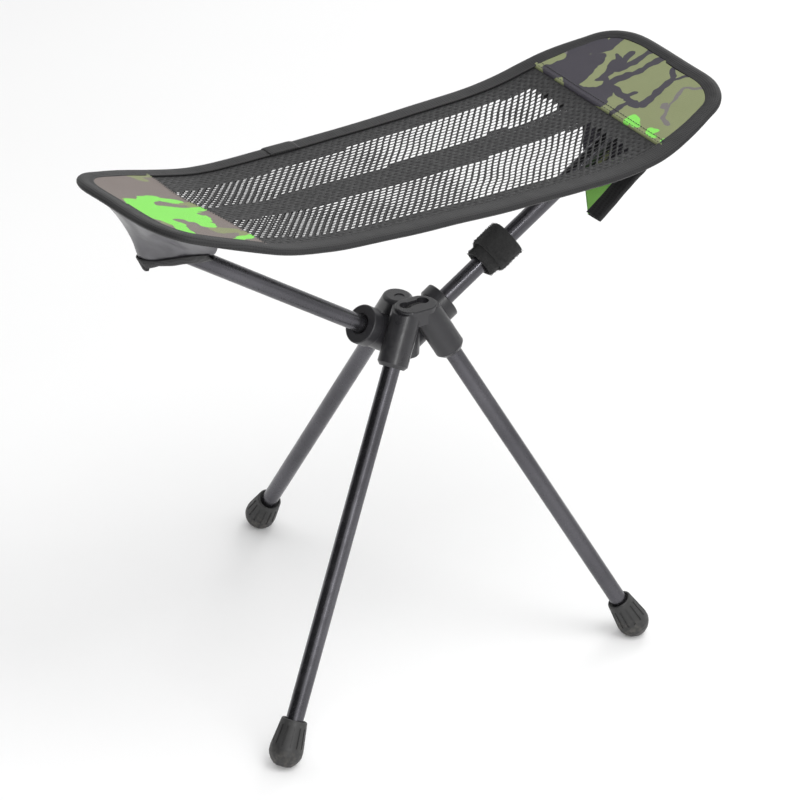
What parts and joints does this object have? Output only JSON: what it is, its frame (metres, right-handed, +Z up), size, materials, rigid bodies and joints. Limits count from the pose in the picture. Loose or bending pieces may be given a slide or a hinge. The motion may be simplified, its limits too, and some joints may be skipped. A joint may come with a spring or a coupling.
{
  "type": "folding camp stool",
  "caption": "Low folding camp stool: a long sling with a mesh middle and stiff printed ends on two rising arms, a moulded hub and splayed tube legs with rubber feet.",
  "frame": {"origin": "middle of the stool's footprint box, on the ground plane that the soles rest on", "axes": "+Z up, +X along the sling and the two arms, +Y towards the single back leg"},
  "size_m": [0.526, 0.3314, 0.4641],
  "materials": {
    "tube": "dark grey anodised, glossy",
    "moulding": "dark grey moulded nylon, fine satin grain",
    "foot_rubber": "dark grey rubber, satin",
    "plug": "black moulded plastic",
    "cord": "braided elastic cord",
    "mesh": "open knitted mesh with dense bands",
    "print_cloth": null,
    "board": "plain plastic sheet",
    "binding": "folded woven tape",
    "pocket_cloth": "woven polyester with a shiny grey coated back",
    "strap_tape": "black hook-and-loop tape"
  },
  "bodies": {
    "frame": {"hub": "moulding", "arm_tube_left": "tube", "arm_tube_right": "tube", "arm_cap_left": "plug", "arm_cap_right": "plug", "front_leg_cord": "cord", "back_leg_cord": "cord", "arm_cord": "cord", "seat_mesh": "mesh", "end_panel_left": "print_cloth", "end_panel_right": "print_cloth", "end_board_left": "board", "end_board_right": "board", "edge_binding": "binding", "binding_lap": "binding", "tip_pocket_left": "pocket_cloth", "tip_pocket_right": "pocket_cloth", "pocket_binding_left": "binding", "pocket_binding_right_near": "binding", "pocket_binding_right_far": "binding"},
    "leg_left": {"leg_tube_left": "tube", "foot_left": "foot_rubber", "cord_plug_left": "plug"},
    "leg_right": {"leg_tube_right": "tube", "foot_right": "foot_rubber", "cord_plug_right": "plug"},
    "leg_back": {"leg_tube_back": "tube", "foot_back": "foot_rubber", "cord_plug_back": "plug"},
    "strap": {"strap_loop_turn": "strap_tape", "strap_hook_turn": "strap_tape"}
  },
  "joints": [
    {"name": "leg_left_pull", "type": "slide", "parent": "frame", "child": "leg_left", "axis": [-0.4657, -0.2589, -0.8462], "range_m": [0, 0.038], "stiffness_N_per_m": 80, "springref_m": -0.04},
    {"name": "leg_right_pull", "type": "slide", "parent": "frame", "child": "leg_right", "axis": [0.4657, -0.2589, -0.8462], "range_m": [0, 0.038], "stiffness_N_per_m": 80, "springref_m": -0.04},
    {"name": "leg_back_pull", "type": "slide", "parent": "frame", "child": "leg_back", "axis": [0, 0.5329, -0.8462], "range_m": [0, 0.038], "stiffness_N_per_m": 80, "springref_m": -0.04},
    {"name": "strap_slide", "type": "slide", "parent": "frame", "child": "strap", "axis": [0.8391, 0, 0.5439], "range_m": [-0.036, 0.04]}
  ]
}
